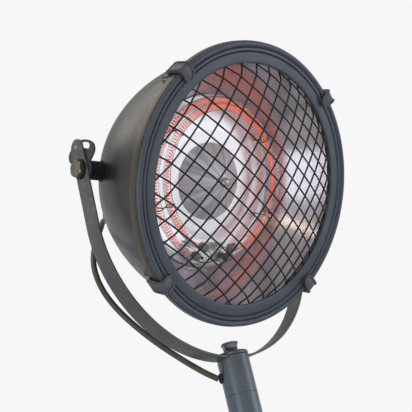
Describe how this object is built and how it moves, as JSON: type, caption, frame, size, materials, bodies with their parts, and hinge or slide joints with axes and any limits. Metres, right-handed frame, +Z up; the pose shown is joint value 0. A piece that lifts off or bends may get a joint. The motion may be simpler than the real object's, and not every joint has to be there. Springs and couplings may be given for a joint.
{
  "type": "outdoor heater",
  "caption": "Floor-standing outdoor electric heater: domed round head with ring lamps behind a wire grille, tilting in a U-shaped yoke on a pole with a weighted round base.",
  "frame": {"origin": "on the floor, at the centre of the base, under the pole", "axes": "+Z up along the pole, -Y the way the head faces, +X to its right as seen from the front"},
  "size_m": [0.426, 0.426, 1.7477],
  "materials": {
    "satin_grey_paint": "satin powder coat",
    "housing_paint": "satin dark bronze coat",
    "bezel_paint": "satin slate grey powder coat",
    "grille_wire": "satin black",
    "black_rubber": "matte",
    "bolt_steel": "plain zinc-plated",
    "bright_steel": "bright",
    "mirror_aluminium": "polished, spun",
    "satin_aluminium": "satin",
    "quartz": "clear, smooth",
    "hot_wire": "coiled resistance wire, glowing orange",
    "ceramic": "matte, unglazed",
    "cast_iron": "rough"
  },
  "bodies": {
    "stand": {"base_weight": "cast_iron", "base_cover": "satin_grey_paint", "base_collar": "satin_grey_paint", "base_plug": "bolt_steel", "base_washer": "bolt_steel", "base_bolt": "bolt_steel", "foot_1": "black_rubber", "foot_2": "black_rubber", "foot_3": "black_rubber", "foot_4": "black_rubber", "lead_gland": "black_rubber", "lower_pole": "satin_grey_paint", "pole_coupler": "bolt_steel", "upper_pole": "satin_grey_paint", "pole_plug": "bolt_steel", "pole_cap": "satin_grey_paint", "yoke_washer": "bolt_steel", "yoke_bolt": "bolt_steel", "pole_grommet": "black_rubber", "yoke_strap": "satin_grey_paint", "tilt_pin_right": "bolt_steel", "tilt_pin_left": "bolt_steel", "supply_cable": "black_rubber"},
    "head": {"housing_dome": "housing_paint", "rear_gland": "black_rubber", "pivot_washer_right": "bolt_steel", "pivot_washer_left": "bolt_steel", "pivot_bolt_right": "bolt_steel", "pivot_bolt_left": "bolt_steel", "tilt_plate_right": "satin_grey_paint", "tilt_plate_left": "satin_grey_paint", "pivot_spacer_right": "black_rubber", "pivot_spacer_left": "black_rubber", "front_bezel": "bezel_paint", "wire_grille": "grille_wire", "reflector_wall": "mirror_aluminium", "lamp_plate": "satin_aluminium", "centre_cone": "mirror_aluminium", "cone_stud": "bright_steel", "heat_shield": "satin_aluminium", "outer_lamp_tube": "quartz", "inner_lamp_tube": "quartz", "outer_lamp_filament": "hot_wire", "inner_lamp_filament": "hot_wire", "outer_lamp_cap_right": "ceramic", "outer_lamp_cap_left": "ceramic", "inner_lamp_cap_right": "ceramic", "inner_lamp_cap_left": "ceramic", "lamp_holder": "bright_steel", "lamp_stand_right": "bright_steel", "lamp_stand_left": "bright_steel", "terminal_block": "ceramic", "clip_leaf_top_right": "satin_grey_paint", "clip_leaf_top_left": "satin_grey_paint", "clip_leaf_bottom_left": "satin_grey_paint", "clip_leaf_bottom_right": "satin_grey_paint"},
    "clip_top_right": {"clip_hook_top_right": "satin_grey_paint"},
    "clip_top_left": {"clip_hook_top_left": "satin_grey_paint"},
    "clip_bottom_left": {"clip_hook_bottom_left": "satin_grey_paint"},
    "clip_bottom_right": {"clip_hook_bottom_right": "satin_grey_paint"}
  },
  "joints": [
    {"name": "head_tilt", "type": "hinge", "parent": "stand", "child": "head", "pos_m": [0, 0, 1.63], "axis": [1, 0, 0], "range_deg": [-38, 20], "deforming": ["supply_cable"]},
    {"name": "clip_top_right_swing", "type": "hinge", "parent": "head", "child": "clip_top_right", "pos_m": [0.11915, -0.13849, 1.69131], "axis": [-0.7071, -0.332, 0.6243], "range_deg": [0, 80]},
    {"name": "clip_top_left_swing", "type": "hinge", "parent": "head", "child": "clip_top_left", "pos_m": [-0.11915, -0.13849, 1.69131], "axis": [-0.7071, 0.332, -0.6243], "range_deg": [0, 80]},
    {"name": "clip_bottom_left_swing", "type": "hinge", "parent": "head", "child": "clip_bottom_left", "pos_m": [-0.11915, -0.02662, 1.4809], "axis": [0.7071, 0.332, -0.6243], "range_deg": [0, 80]},
    {"name": "clip_bottom_right_swing", "type": "hinge", "parent": "head", "child": "clip_bottom_right", "pos_m": [0.11915, -0.02662, 1.4809], "axis": [0.7071, -0.332, 0.6243], "range_deg": [0, 80]}
  ]
}
